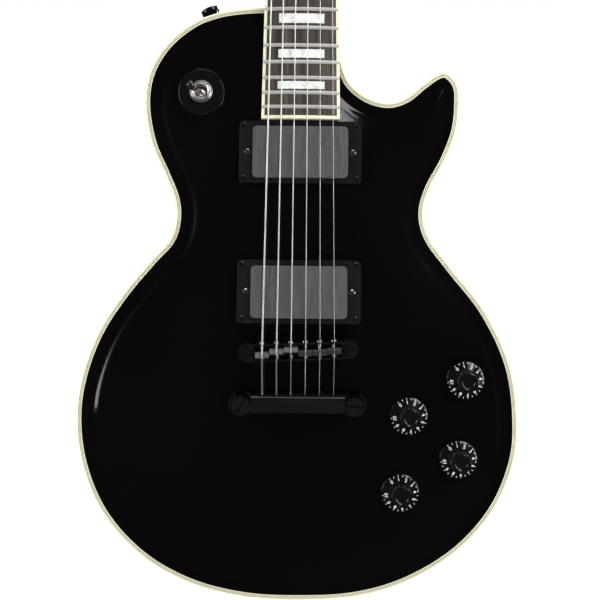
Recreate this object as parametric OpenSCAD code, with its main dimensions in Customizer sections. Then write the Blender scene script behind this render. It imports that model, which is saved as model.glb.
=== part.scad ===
// Electric guitar: carved single-cutaway body, set neck, two covered pickups,
// post-mounted bridge, stop tailpiece and three-a-side tuners.
// Sub-parts are drawn on the bench: x to the treble side, y up the neck from the
// tail, z out of the front, with the back face at z = 0. upright() stands the
// guitar on its tail with its front facing -Y.

/* [Neck and strings] */
// Scale length, nut to theoretical saddle line
scale_length = 628.65; // [610:0.05:648]
// Number of frets
fret_count = 22; // [20:1:22]
// Tilt of the neck back from the body's face, in degrees
neck_angle = 3.6; // [3:0.1:4]
// Tilt of the headstock back from the neck, in degrees
head_angle = 15; // [12:1:17]
// Board width at the nut
nut_width = 43; // [42:0.5:45]
// Board width at its body end
board_end_width = 57.5; // [56:0.5:59]
// Board thickness at its centre
board_thick = 5.5; // [5:0.1:6]
// Radius of the board's top
board_radius = 305; // [250:5:400]
// Distance from the tail to the board's end
board_end_y = 358.2; // [357.5:0.1:359]
// Overhang of the board past the last fret
board_overhang = 8.6; // [7:0.1:10]
// String spread at the nut, first to last
nut_spread = 35.5; // [34:0.5:37]
// String spread at the bridge, first to last
bridge_spread = 51.5; // [50:0.5:52]

/* [Body] */
// Thickness of the body at its rim
rim_thick = 50; // [48:1:52]
// Thickness of the cap at the rim
cap_edge = 8; // [7:0.5:9]
// Rise of the carved cap above its rim
arch_rise = 10; // [8:0.5:11]
// Fall of the crown towards the sides, from its centreline
crown_fall = 2; // [0:0.5:3]
// Width of the carved slope around the rim
carve_width = 42; // [36:1:48]
// Thickness of the outer binding ply
ply_thick = 1.6; // [1.2:0.1:2]
// Width of the whole front binding band
band_width = 4; // [3:0.1:5]

/* [Hardware] */
// Spacing of the bridge posts
post_spacing = 73.5; // [72:0.5:74]
// Distance from the tail to the bridge's centre
bridge_y = 189.4; // [188:0.1:191]
// Slant of the bridge, in degrees
bridge_slant = 2.55; // [0:0.05:3]
// Spacing of the tailpiece studs
stud_spacing = 81.5; // [81:0.5:82.5]
// Distance from the tail to the tailpiece studs
tailpiece_y = 150.4; // [148:0.1:152]
// Distance from the tail to the neck pickup's centre
neck_pickup_y = 334; // [333:0.1:334.5]
// Distance from the tail to the bridge pickup's centre
bridge_pickup_y = 232.2; // [231:0.1:233]
// Pickup cover size along x
cover_w = 69.5; // [68:0.1:70]
// Pickup cover size along y
cover_h = 37.8; // [37:0.1:38.2]
// Mounting ring size along x
ring_w = 89.5; // [88:0.1:90]
// Mounting ring size along y
ring_h = 45.7; // [45:0.1:46]
// Skirt diameter of the knobs
knob_dia = 27.8; // [26:0.1:29]
// Height of the knobs
knob_high = 14; // [12:0.5:16]
// Diameter of the switch's round washer
washer_dia = 35; // [33:0.5:37]
// Head diameter of the strap buttons
button_dia = 14; // [13:0.5:15]
// Bore diameter of the output jack, for a 6.35 mm plug
jack_bore = 6.5; // [6.4:0.05:6.6]

/* [Hidden] */
$fn = 48;
eps = 0.01;

// ---- body outline: bass side of the neck, round the tail, to the treble side ----
body_end = 444;
outline_marks = [
  [-28, 444], [-44, 443], [-62, 440], [-80, 433], [-100, 417], [-113, 396], [-117, 373],
  [-112, 342], [-101, 317], [-94, 299], [-93, 284], [-97, 270], [-111, 254], [-133, 227],
  [-151, 198], [-163, 163], [-166, 133], [-161, 99], [-145, 63], [-116, 32], [-80, 12],
  [-40, 2], [0, 0], [45, 3], [84, 15], [122, 39], [149, 71], [163, 107], [165, 137],
  [159, 178], [140, 218], [113, 252], [97, 274], [93, 291], [97, 308], [109, 331],
  [117, 353], [119, 374], [118, 386], [113, 394], [107, 397], [101, 395], [90, 387],
  [79, 378], [68, 374], [57, 375], [46, 380], [37, 388], [32, 398], [29, 411], [28, 428],
  [28, 444]
];
heart = [0, 200];   // the carve's rings shrink towards this point

function blend(a, b, f) = a + (b - a) * f;
function clamp01(v) = max(0, min(1, v));
// One point of a centripetal Catmull-Rom span from b to c
function span_point(a, b, c, d, f) =
  let (t1 = sqrt(norm(b - a)), t2 = t1 + sqrt(norm(c - b)), t3 = t2 + sqrt(norm(d - c)))
  let (t = blend(t1, t2, f))
  let (p = a * (t1 - t) / t1 + b * t / t1)
  let (q = b * (t2 - t) / (t2 - t1) + c * (t - t1) / (t2 - t1))
  let (r = c * (t3 - t) / (t3 - t2) + d * (t - t2) / (t3 - t2))
  let (pq = p * (t2 - t) / t2 + q * t / t2)
  let (qr = q * (t3 - t) / (t3 - t1) + r * (t - t1) / (t3 - t1))
  pq * (t2 - t) / (t2 - t1) + qr * (t - t1) / (t2 - t1);
function open_curve(m, steps) =
  let (n = len(m))
  let (e = concat([2 * m[0] - m[1]], m, [2 * m[n - 1] - m[n - 2]]))
  concat([for (i = [0:n - 2]) for (k = [0:steps - 1])
    span_point(e[i], e[i + 1], e[i + 2], e[i + 3], k / steps)], [m[n - 1]]);
function closed_curve(m, steps) =
  let (n = len(m))
  [for (i = [0:n - 1]) for (k = [0:steps - 1])
    span_point(m[(i + n - 1) % n], m[i], m[(i + 1) % n], m[(i + 2) % n], k / steps)];

rim = open_curve(outline_marks, 2);
rim_n = len(rim);
function rim_normal(i) =
  let (t = rim[min(i + 1, rim_n - 1)] - rim[max(i - 1, 0)])
  [t[1], -t[0]] / norm(t);
// The outline moved inwards, with the straight end under the neck left open
function inset(d) = [for (i = [0:rim_n - 1]) rim[i] - rim_normal(i) * d];
function with_end(line) =
  concat(line, [for (k = [1:3]) blend(line[len(line) - 1], line[0], k / 4)]);
function gap_to(p, a, b) =
  let (f = clamp01(((p - a) * (b - a)) / ((b - a) * (b - a))))
  norm(p - a - (b - a) * f);
function rim_gap(p) = min([for (i = [0:rim_n - 2]) gap_to(p, rim[i], rim[i + 1])]);

// ---- heights of the carved top ----
seam_z = rim_thick - cap_edge;
top_z = rim_thick + arch_rise;
board_seat_z = top_z - 1;
function board_plane(y) = board_seat_z - (y - board_end_y) * tan(neck_angle);
function crown(p) = min(top_z, board_plane(p[1])) - crown_fall * pow(p[0] / 165, 2);
function carve(gap) =
  let (q = clamp01((gap - band_width) / (carve_width - band_width)))
  q * q * (3 - 2 * q);
function carved_z(p) =
  let (gap = rim_gap(p), dip = clamp01((gap - band_width) / 14))
  rim_thick + (crown(p) - rim_thick) * carve(gap) - 0.7 * pow(sin(180 * dip), 2);

// ---- frames ----
button_len = 13.5;
rim_mid = rim_thick / 2;
module upright() {
  translate([0, rim_mid, button_len - 1.5]) rotate([90, 0, 0]) children();
}
// Neck frame: y along the neck from the board's end, z = 0 on the board's underside
module on_neck() {
  translate([0, board_end_y, board_seat_z]) rotate([-neck_angle, 0, 0]) children();
}
board_len = scale_length * (1 - pow(2, -fret_count / 12)) + board_overhang;
saddle_line = board_len - scale_length;
nut_thick = 5;
head_start = board_len + nut_thick;
// Headstock frame: y up the headstock from the nut, z = 0 on its face
module on_head() {
  on_neck() translate([0, head_start, 0.5]) rotate([-head_angle, 0, 0]) children();
}
module on_bridge() {
  translate([0, bridge_y, 0]) rotate([0, 0, bridge_slant]) children();
}
function half_width(u) = blend(board_end_width, nut_width, u / board_len) / 2;
function fret_u(n) = board_len - scale_length * (1 - pow(2, -n / 12));

// ---- general shapes ----
// Solid through a stack of rings of equal length, each counter-clockwise seen from the
// last; each end is closed by a fan about its middle
function mean(line) = [for (p = line) 1] * line / len(line);
module lofted(rings) {
  n = len(rings[0]);
  last = (len(rings) - 1) * n;
  points = concat([for (r = rings) each r], [mean(rings[0]), mean(rings[len(rings) - 1])]);
  polyhedron(
    points = points,
    faces = [
      for (k = [0:n - 1]) let (j = (k + 1) % n)
        each concat(
          [[last + n, k, j], [last + n + 1, last + j, last + k]],
          [for (i = [0:len(rings) - 2]) each [
            [i * n + k, i * n + n + k, i * n + n + j], [i * n + k, i * n + n + j, i * n + j]]])
    ]);
}
module prism(line, z0, z1) {
  translate([0, 0, z0]) linear_extrude(z1 - z0) polygon(line);
}
module rod(r, z0, z1) {
  translate([0, 0, z0]) cylinder(r = r, h = z1 - z0);
}
module tube(r, bore, z0, z1) {
  difference() {
    rod(r, z0, z1);
    rod(bore, z0 - 1, z1 + 1);
  }
}
module round_plate(w, h, r, z0, z1) {
  translate([0, 0, z0]) linear_extrude(z1 - z0) union() {
    square([w - 2 * r, h], center = true);
    square([w, h - 2 * r], center = true);
    for (x = [-1, 1], y = [-1, 1]) translate([x * (w / 2 - r), y * (h / 2 - r)]) circle(r);
  }
}
// Tube of constant radius swept through a row of points, mitred at the bends
function unit(v) = v / norm(v);
function heading(line, i) =
  let (n = len(line))
  unit((i > 0 ? unit(line[i] - line[i - 1]) : [0, 0, 0])
    + (i < n - 1 ? unit(line[i + 1] - line[i]) : [0, 0, 0]));
module swept(line, r, sides = 8) {
  lofted([for (i = [0:len(line) - 1])
    let (d = heading(line, i))
    let (a = unit(cross(abs(d[2]) > 0.9 ? [1, 0, 0] : [0, 0, 1], d)), b = cross(d, a))
    [for (k = [0:sides - 1]) let (t = 360 * k / sides)
      line[i] + r * (cos(t) * a + sin(t) * b)]]);
}
// Straight round bar between two points
module bar(a, b, r) {
  d = b - a;
  translate(a) rotate([0, acos(d[2] / norm(d)), atan2(d[1], d[0])]) cylinder(r = r, h = norm(d));
}
module screw(head_r, head_h, shank_r, shank_len) {
  difference() {
    union() {
      cylinder(r1 = head_r, r2 = head_r * 0.55, h = head_h);
      rod(shank_r, -shank_len, eps);
    }
    for (a = [0, 90]) rotate(a)
      translate([-head_r * 0.45, -0.25, head_h - 0.5]) cube([head_r * 0.9, 0.5, 1]);
  }
}

// ---- positions shared by several sub-parts ----
knob_spots = [[81.5, 141.5], [75.8, 85.2], [122.9, 168.2], [118.3, 110]];
knob_names = ["knob_neck_volume", "knob_neck_tone", "knob_bridge_volume", "knob_bridge_tone"];
switch_spot = [-73.5, 378.3];
control_marks = [
  [124, 186], [143, 172], [142, 128], [128, 92], [88, 66], [60, 68], [56, 100], [62, 146],
  [84, 166]
];
jack_spot = [136.5, 54];
jack_z = 24.5;
jack_heading = -40;
shoulder_spot = [-67, 438];
shoulder_heading = 112;
tenon_w = 38;
tenon_start = 345;
tenon_floor = 18;
pickup_floor = 30;
pickup_spots = [neck_pickup_y, bridge_pickup_y];

// ---- pockets and holes in the wood ----
module neck_pocket() {
  translate([-tenon_w / 2, tenon_start, tenon_floor])
    cube([tenon_w, body_end - tenon_start + 5, rim_thick]);
}
module board_shelf() {
  w = half_width(0) * 2;
  translate([-w / 2, board_end_y + 1, rim_thick]) cube([w, body_end - board_end_y + 5, 20]);
}
module control_cavity() {
  prism(closed_curve(control_marks, 3), -1, seam_z + 5);
  translate([switch_spot[0], switch_spot[1], 0]) rod(19, -1, seam_z + 4);
}
cover_ledge = 7;        // the control cover's overlap on the wood round its cavity
switch_cover_r = 25;
cover_gap = 0.3;
cover_face = 2.4;       // depth of the recesses that hold the covers
module cover_recess() {
  translate([0, 0, -1]) linear_extrude(cover_face + 1) grown_marks(cover_ledge + cover_gap);
  translate([switch_spot[0], switch_spot[1], 0]) rod(switch_cover_r + cover_gap, -1, cover_face);
}
// A mark of the control cavity's outline moved away from its middle
cavity_mid = [100, 125];
function grown(m, d) = m + (m - cavity_mid) * d / norm(m - cavity_mid);
module grown_marks(d) {
  polygon(closed_curve([for (m = control_marks) grown(m, d)], 3));
}
cover_screws = [for (i = [0, 2, 3, 4, 6, 8]) grown(control_marks[i], 3.6)];
switch_cover_screws = [for (a = [30, 150, 270]) switch_spot + 22 * [cos(a), sin(a)]];
ring_screws = [for (y = pickup_spots) for (i = [-1, 1], k = [-1, 1])
  [i * (ring_w / 2 - 3.6), y + k * (ring_h / 2 - 3.4)]];
module pickup_pockets() {
  for (y = pickup_spots) translate([0, y, pickup_floor]) {
    translate([-41, -21.2, 0]) cube([82, 42.4, 40]);
    translate([-ring_w / 2 - 0.05, -ring_h / 2 - 0.05, top_z - 1.8 - pickup_floor])
      cube([ring_w + 0.1, ring_h + 0.1, 20]);
  }
}
module wire_channels() {
  bar([-34, 346, 36], [-64, 370, 36], 3.6);
  bar([2, 320, 35], [2, 248, 35], 3.4);
  bar([36, 233, 35], [88, 162, 35], 3.4);
  bar([30, 328, 36], [94, 168, 36], 3.6);
}
module jack_hole() {
  at_jack() {
    rotate([0, -90, 0]) rod(11, -4, 44);
    translate([-1.2, -17.1, -17.1]) cube([8, 34.2, 34.2]);
  }
}
// Frame with x pointing straight out of the rim at the jack, z up out of the front
module at_jack() {
  translate([jack_spot[0], jack_spot[1], jack_z]) rotate([0, 0, jack_heading]) children();
}
module screw_holes() {
  for (p = ring_screws) translate([p[0], p[1], 0]) rod(1.3, top_z - 14, top_z + 10);
  for (p = concat(cover_screws, switch_cover_screws)) translate([p[0], p[1], 0]) rod(1.3, -1, 12);
  at_jack() for (y = [-1, 1], z = [-1, 1]) translate([0, y * 13, z * 13])
    rotate([0, -90, 0]) rod(1.2, -2, 11);
  at_end_button() {
    rod(2.1, -24, 2);
    rod(6.4, 0.05, 3);
  }
  at_shoulder_button() {
    rod(2.1, -24, 2);
    rod(6.4, 0.05, 3);
  }
}
module hardware_holes() {
  on_bridge() for (s = [-1, 1]) translate([s * post_spacing / 2, 0, 0]) rod(4, 36, top_z + 5);
  for (s = [-1, 1]) translate([s * stud_spacing / 2, tailpiece_y, 0]) rod(6, 36, top_z + 5);
  for (p = knob_spots) translate([p[0], p[1], 0]) rod(4.9, seam_z + 1, top_z + 5);
  at_switch() rod(6.4, -14, 5);
}

// ---- body ----
module body_back() {
  color([0.02, 0.02, 0.02]) upright() difference() {
    union() {
      prism(with_end(inset(ply_thick)), 0, 6);
      prism(with_end(rim), 6, seam_z);
    }
    neck_pocket();
    control_cavity();
    cover_recess();
    pickup_pockets();
    wire_channels();
    jack_hole();
    screw_holes();
    hardware_holes();
  }
}
module body_top() {
  shelf = 1.5;
  foot = inset(ply_thick);
  edge = inset(band_width);
  shrink = [0.97, 0.93, 0.89, 0.85, 0.81, 0.76, 0.7, 0.62, 0.52, 0.3];
  function level(line, z) = [for (p = with_end(line)) [p[0], p[1], z]];
  color([0.02, 0.02, 0.02]) upright() difference() {
    lofted(concat(
      [[for (p = with_end(foot)) let (q = blend(heart, p, 0.02)) [q[0], q[1], seam_z]],
       level(foot, seam_z), level(foot, rim_thick - shelf), level(edge, rim_thick - shelf),
       level(edge, rim_thick)],
      [for (t = shrink) [for (p = with_end(edge)) let (q = blend(heart, p, t))
        [q[0], q[1], carved_z(q)]]],
      [[for (p = with_end(edge)) let (q = blend(heart, p, 0.02)) [q[0], q[1], top_z]]]));
    neck_pocket();
    board_shelf();
    control_cavity();
    pickup_pockets();
    screw_holes();
    hardware_holes();
  }
}
module binding_front() {
  color([0.96, 0.94, 0.85]) upright() difference() {
    prism(with_end(rim), seam_z, rim_thick);
    prism(with_end(inset(ply_thick)), seam_z - 1, rim_thick - 1.5);
    prism(with_end(inset(band_width)), rim_thick - 2, rim_thick + 1);
    neck_pocket();
  }
}
module binding_back() {
  color([0.96, 0.94, 0.85]) upright() difference() {
    prism(with_end(rim), 0, 6);
    prism(with_end(inset(ply_thick)), -1, 7);
  }
}

// ---- neck ----
neck_depth = 20;
heel_start = 84;
heel_len = 46;
function shaft_depth(u) = neck_depth + 2 * (1 - u / board_len)
  + 28 * pow(clamp01(1 - (u - heel_start + 6) / heel_len), 2)
  + 4 * pow(sin(180 * clamp01((u - 425) / 50)), 2);
// D-shaped section at u, flat under the board; wide heel sections are squarer
function neck_ring(u, w, depth, square) = [for (k = [0:16]) let (a = 180 * k / 16)
  [w * sign(cos(a)) * pow(abs(cos(a)), 1 / square), u, -depth * pow(sin(a), 1 / square)]];
head_marks = [
  [21.5, 0], [24, 12], [32, 30], [37, 50], [38, 90], [39.5, 128], [41.5, 156], [40, 168],
  [31, 177], [14, 182.5], [0, 183.5]
];
head_half = open_curve(head_marks, 2);
head_n = len(head_half);
head_line = concat(head_half, [for (i = [head_n - 2:-1:0]) [-head_half[i][0], head_half[i][1]]]);
head_binding_w = 1.8;
function head_normal(i) =
  let (n = len(head_line))
  let (t = head_line[min(i + 1, n - 1)] - head_line[max(i - 1, 0)])
  [t[1], -t[0]] / norm(t);
head_inset = [for (i = [0:len(head_line) - 1]) head_line[i] - head_normal(i) * head_binding_w];
// The veneer's outline, run out past the nut
head_face = concat([[head_inset[0][0], -1]], head_inset,
                   [[head_inset[len(head_inset) - 1][0], -1]]);
head_thick = 14;
veneer_thick = 1.5;
post_r = 3;
post_rows = [50, 90, 130];
// String number: 1 and 6 nearest the nut; x is negative on the bass side
function post_spot(i) = i <= 3
  ? [post_rows[i - 1] == post_rows[0] ? -22 : -23, post_rows[i - 1]]
  : [post_rows[6 - i] == post_rows[0] ? 22 : 23, post_rows[6 - i]];

module neck() {
  us = [78, 86, 94, 102, 110, 118, 126, 140, 180, 230, 280, 330, 380, 420, 440, 452, 460,
        head_start];
  color([0.03, 0.03, 0.03]) upright() difference() {
    union() {
      difference() {
        on_neck() lofted([for (u = us)
          neck_ring(u, half_width(min(u, board_len)), shaft_depth(u), u < 125 ? 1.5 : 1.12)]);
        translate([-60, 300, -20]) cube([120, body_end - 300, 120]);
      }
      // Shelf under the board, inside the body
      intersection() {
        on_neck() translate([0, 0, -30]) linear_extrude(30) polygon([
          [-half_width(0), 1], [half_width(0), 1],
          [half_width(90), 90], [-half_width(90), 90]]);
        translate([-60, board_end_y + 1, rim_thick]) cube([120, body_end - board_end_y - 1, 40]);
      }
      translate([-tenon_w / 2 + 0.05, tenon_start + 0.1, tenon_floor + 0.1])
        cube([tenon_w - 0.1, body_end - tenon_start, rim_thick - tenon_floor + 1]);
      on_head() {
        prism(head_line, -veneer_thick - head_thick, -veneer_thick);
      }
    }
    // Truss rod channel and its adjusting mouth
    on_neck() translate([-3.1, 20, -11]) cube([6.2, head_start - 20 + 2, 12]);
    on_head() truss_mouth();
    on_head() translate([0, 29, 0]) rod(1.1, -6, 1);
    pickup_pockets();
    for (i = [1:6]) on_head() translate([post_spot(i)[0], post_spot(i)[1], 0]) rod(5, -20, 1);
  }
}
module truss_rod() {
  color([0.6, 0.6, 0.62]) upright() on_neck() {
    translate([0, 22, -5]) rotate([-90, 0, 0]) cylinder(r = 2.4, h = head_start - 22 + 1);
    translate([0, head_start + 0.8, -5]) rotate([-90, 0, 0]) difference() {
      cylinder(r = 3.1, h = 8, $fn = 6);
      translate([0, 0, 4]) cylinder(r = 1.6, h = 6, $fn = 6);
    }
  }
}
module truss_rod_cover() {
  color([0.02, 0.02, 0.02]) upright() on_head() difference() {
    prism(closed_curve([[-11, 3], [11, 3], [10, 14], [7.5, 27], [4, 33], [-4, 33], [-7.5, 27],
      [-10, 14]], 3), 0.05, 2);
    for (y = [7, 29]) translate([0, y, 0]) rod(1.1, -1, 4);
  }
}
// Strip beside the nut, where the tilted face would cut into the neck
module nut_clearance() {
  translate([-50, -10, -5]) cube([100, 10.45, 10]);
}
module truss_mouth() {
  translate([-6, -1, -10]) cube([12, 24, 12]);
}
module headstock_veneer() {
  color([0.02, 0.02, 0.02]) upright() on_head() difference() {
    prism(head_face, -veneer_thick, 0);
    nut_clearance();
    truss_mouth();
    for (i = [1:6]) translate([post_spot(i)[0], post_spot(i)[1], 0]) rod(5, -20, 1);
    translate([0, 29, 0]) rod(1.1, -4, 4);
  }
}
module headstock_binding() {
  color([0.96, 0.94, 0.85]) upright() on_head() difference() {
    prism(head_line, -veneer_thick, 0);
    prism(head_face, -veneer_thick - 1, 1);
    nut_clearance();
  }
}

// ---- fingerboard ----
board_bind = 2.2;
module board_blank(shrink, z0, z1) {
  translate([0, 0, z0]) linear_extrude(z1 - z0) polygon([
    [-half_width(0) + shrink, shrink], [half_width(0) - shrink, shrink],
    [half_width(board_len) - shrink, board_len], [-half_width(board_len) + shrink, board_len]]);
}
module board_camber() {
  translate([0, -20, board_thick - board_radius]) rotate([-90, 0, 0])
    cylinder(r = board_radius, h = board_len + 40, $fn = 200);
}
marked_frets = [1, 3, 5, 7, 9, 12, 15, 17, 19, 21];
function marker_mid(n) = (fret_u(n) + fret_u(n - 1)) / 2;
marker_depth = 2;
module marker_blocks() {
  for (n = marked_frets) {
    u = marker_mid(n);
    l = (fret_u(n - 1) - fret_u(n)) * 0.51;
    w = half_width(u) * 2 * 0.605;
    translate([-w / 2, u - l / 2, board_thick - marker_depth - 1]) cube([w, l, 4]);
  }
}
module fret_slots() {
  for (n = [1:fret_count]) translate([-40, fret_u(n) - 0.3, board_thick - 2.6]) cube([80, 0.6, 5]);
}
module fingerboard() {
  color([0.2, 0.13, 0.09]) upright() on_neck() difference() {
    intersection() {
      board_blank(board_bind, 0, 8);
      board_camber();
    }
    marker_blocks();
    fret_slots();
  }
}
side_dot_frets = [3, 5, 7, 9, 12, 15, 17, 19, 21];
module side_dots() {
  for (n = side_dot_frets) for (k = n == 12 ? [-3, 3] : [0]) {
    u = marker_mid(n) + k;
    translate([-half_width(u), u, board_thick / 2]) rotate([0, 90, 0]) cylinder(r = 1.1, h = 1.4);
  }
}
module fingerboard_binding() {
  color([0.96, 0.94, 0.85]) upright() on_neck() difference() {
    intersection() {
      board_blank(0, 0, 8);
      board_camber();
    }
    board_blank(board_bind, -1, 9);
    translate([-40, board_len, -1]) cube([80, 10, 10]);
    side_dots();
    fret_slots();
  }
}
module frets() {
  crown_line = [[-0.3, -2.5], [0.3, -2.5], [0.3, 0], [1.3, 0], [1.15, 0.55], [0.65, 1.0],
                [0, 1.15], [-0.65, 1.0], [-1.15, 0.55], [-1.3, 0], [-0.3, 0]];
  color([0.85, 0.85, 0.84]) upright() on_neck() for (n = [1:fret_count]) {
    u = fret_u(n);
    w = half_width(u) - 0.7;
    sweep = asin(w / board_radius);
    intersection() {
      translate([0, u, board_thick - board_radius]) rotate([90, 0, 0])
        rotate([0, 0, 90 - sweep]) rotate_extrude(angle = 2 * sweep, $fn = 400)
          polygon([for (p = crown_line) [board_radius + p[1], p[0]]]);
      translate([-40, u - 3, board_thick - 2.5]) cube([80, 6, 8]);
    }
  }
}
module position_markers() {
  color([0.86, 0.87, 0.84]) upright() on_neck() {
    intersection() {
      marker_blocks();
      board_camber();
      translate([-40, 0, board_thick - marker_depth - 0.9]) cube([80, board_len, 8]);
    }
    intersection() {
      side_dots();
      board_blank(0, 0, 8);
    }
  }
}

// ---- strings ----
gauges = [1.32, 1.07, 0.81, 0.6, 0.45, 0.36];   // drawn diameters, 6th to 1st
spread_steps = [-0.5, -0.3, -0.1, 0.1, 0.3, 0.5];
break_y = [184.4, 187.2, 188.7, 189.6, 190.2, 191.4];
nut_lift = board_thick + 1.6;
fret_22_lift = board_thick + 2.8;
function string_x(i, u) =
  blend(bridge_spread, nut_spread, (u - saddle_line) / scale_length) * spread_steps[i - 1];
// Height of a string's centreline above the board's underside, lower at the board's sides
string_slope = (fret_22_lift - nut_lift) / (scale_length * (1 - pow(2, -fret_count / 12)));
function string_w(i, u) =
  nut_lift + (board_len - u) * string_slope - pow(string_x(i, u), 2) / 2 / board_radius;
// Neck-frame point to bench point
function to_bench(p) = [p[0],
  board_end_y + p[1] * cos(neck_angle) + p[2] * sin(neck_angle),
  board_seat_z - p[1] * sin(neck_angle) + p[2] * cos(neck_angle)];
function head_to_neck(p) = [p[0],
  head_start + p[1] * cos(head_angle) + p[2] * sin(head_angle),
  0.5 - p[1] * sin(head_angle) + p[2] * cos(head_angle)];
function saddle_u(i) = (break_y[i - 1] - board_end_y) / cos(neck_angle);
function break_point(i) =
  let (u = saddle_u(i)) to_bench([string_x(i, u), u, string_w(i, u)]);
function nut_point(i) =
  to_bench([string_x(i, board_len), board_len, string_w(i, board_len)]);
wrap_z = 4.4;
function post_side(i) = i <= 3 ? 1 : -1;
function nut_back(i) =
  to_bench([string_x(i, head_start), head_start, string_w(i, board_len) - 0.5]);
anchor_y = tailpiece_y + 8.3;
anchor_z = 70.6;
function anchor_point(i) = [bridge_spread * spread_steps[i - 1], anchor_y, anchor_z];
// Route of a string: anchor, saddle, nut, then turns round its post
wrap_turns = 2.5;
wrap_steps = 14;
function wrap_line(i) =
  let (p = post_spot(i), g = gauges[i - 1], r = post_r + 0.08 + g / 2, s = post_side(i))
  [for (k = [0:wrap_turns * wrap_steps]) let (t = k * 360 / wrap_steps)
    to_bench(head_to_neck([p[0] + s * r * cos(t), p[1] + r * sin(t),
      wrap_z + g * (wrap_turns + 0.6 - t / 360 * 1.04)]))];
module string_run(i) {
  swept(concat(
    [anchor_point(i) - [0, 6, 0], anchor_point(i), break_point(i), nut_point(i), nut_back(i)],
    wrap_line(i)), gauges[i - 1] / 2);
}
module strings_wound() {
  color([0.75, 0.73, 0.7]) upright() for (i = [1:3]) string_run(i);
}
module strings_plain() {
  color([0.85, 0.85, 0.86]) upright() for (i = [4:6]) string_run(i);
}
module nut() {
  color([0.93, 0.9, 0.82]) upright() difference() {
    on_neck() translate([-nut_width / 2, board_len + 0.02, 0.1])
      cube([nut_width, nut_thick - 0.04, board_thick + 1.9]);
    for (i = [1:6]) {
      run = nut_back(i) - nut_point(i);
      slot = gauges[i - 1] + 0.12;
      bar(nut_point(i) - run, nut_back(i) + run, slot / 2);
      on_neck() translate([string_x(i, board_len) - slot * 0.45, board_len - 2,
        string_w(i, board_len) - 0.2]) cube([slot * 0.9, nut_thick + 4, 5]);
    }
  }
}

// ---- tuners ----
gear_z = -veneer_thick - head_thick - 6;
worm_off = 8;
module at_post(i) {
  on_head() translate([post_spot(i)[0], post_spot(i)[1], 0]) children();
}
module tuner_housings() {
  color([0.12, 0.12, 0.13]) upright() for (i = [1:6]) {
    s = -post_side(i);
    back = -veneer_thick - head_thick;
    at_post(i) {
      difference() {
        translate([s * 0.5, 3.5, 0]) round_plate(18.6, 25, 3, back - 12, back - 0.05);
        translate([0, 0, back]) rod(6.2, -10.5, -1.5);
        translate([0, worm_off, gear_z]) rotate([0, 90, 0]) cylinder(r = 3.2, h = 15, center = true);
        translate([0, worm_off, gear_z]) rotate([0, s * 90, 0]) rod(2.06, 0, 20);
        rod(post_r + 0.06, back - 3, back + 1);
      }
      // Bushing pressed through the wood, with its nut and washer on the face
      tube(4.8, post_r + 0.06, back + 0.02, 0.1);
      difference() {
        union() {
          rod(7.2, 0.05, 0.9);
          translate([0, 0, 0.85]) cylinder(r = 6.6, h = 2.4, $fn = 6);
        }
        rod(post_r + 0.06, -1, 5);
      }
    }
  }
}
worm_teeth = 14;
module tuner_post(i) {
  color([0.15, 0.15, 0.16]) upright() at_post(i) {
    difference() {
      union() {
        rod(post_r, gear_z - 2, 16);
        translate([0, 0, gear_z - 2]) linear_extrude(4) union() {
          circle(3.9);
          for (k = [1:worm_teeth]) rotate(k * 360 / worm_teeth) translate([4.1, 0])
            square([1, 0.9], center = true);
        }
        rod(post_r + 0.5, 14.5, 16);
      }
      translate([0, 0, 12]) rotate([90, 0, 0]) cylinder(r = 0.9, h = 20, center = true);
      translate([0, 0, 15]) cylinder(r = 1.2, h = 2);
    }
  }
}
module tuner_key(i) {
  s = -post_side(i);
  color([0.12, 0.12, 0.13]) upright() at_post(i)
    translate([0, worm_off, gear_z]) rotate([0, s * 90, 0]) {
      rotate_extrude() polygon(concat([[0, -6]], [for (k = [0:8]) each
        [[1.7, -6 + k * 1.4], [2.6, -5.7 + k * 1.4], [2.6, -5.1 + k * 1.4], [1.7, -4.8 + k * 1.4]]],
        [[0, 6.4]]));
      rod(2, 6, 27);
      rod(3.4, 12.2, 14);
      rod(3.2, 24.5, 27.5);
      translate([0, 0, 34.5]) rotate([0, 90, 0]) rotate_extrude() polygon([
        [0, -3.6], [6.6, -3.6], [8.6, -1.8], [8.6, 1.8], [6.6, 3.6], [0, 3.6]]);
    }
}

// ---- bridge ----
bridge_w = 12.6;
bridge_top = 75.2;
bridge_bottom = 66.4;
channel_w = 9.8;
post_top_r = 3.3;
channel_floor = 69;
saddle_w = 9.9;
saddle_len = 4.6;
screw_z = 71.6;
function bridge_frame(p) =
  let (d = [p[0], p[1] - bridge_y])
  [d[0] * cos(bridge_slant) + d[1] * sin(bridge_slant),
   -d[0] * sin(bridge_slant) + d[1] * cos(bridge_slant)];
// Peak of each saddle in the bridge's own frame
function peak(i) = let (b = break_point(i)) bridge_frame([b[0], b[1]]);
// The bass three slope down towards the neck, the treble three towards the tail
function saddle_back(i) = i <= 3 ? peak(i)[1] - 0.5 : peak(i)[1] + 0.5 - saddle_len;
module bridge_body() {
  color([0.1, 0.1, 0.11]) upright() on_bridge() difference() {
    intersection() {
      union() {
        translate([-post_spacing / 2, -bridge_w / 2, bridge_bottom])
          cube([post_spacing, bridge_w, 9.6]);
        for (s = [-1, 1]) translate([s * post_spacing / 2, 0, 0])
          rod(bridge_w / 2, bridge_bottom, bridge_bottom + 9.6);
      }
      translate([0, 0, bridge_top + 0.8 - board_radius]) rotate([90, 0, 0])
        cylinder(r = board_radius, h = 60, center = true, $fn = 200);
    }
    translate([-31.5, -channel_w / 2, channel_floor]) cube([63, channel_w, 20]);
    for (s = [-1, 1]) translate([s * post_spacing / 2, 0, 0]) {
      rod(post_top_r + 0.1, bridge_bottom - 1, 90);
      rod(4.2, 74.6, 90);
    }
    for (i = [1:6]) translate([peak(i)[0], 0, screw_z]) rotate([-90, 0, 0]) {
      rod(1.3, -8, 8);
      rod(2.1, bridge_w / 2 - 0.6, 9);
    }
  }
}
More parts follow.
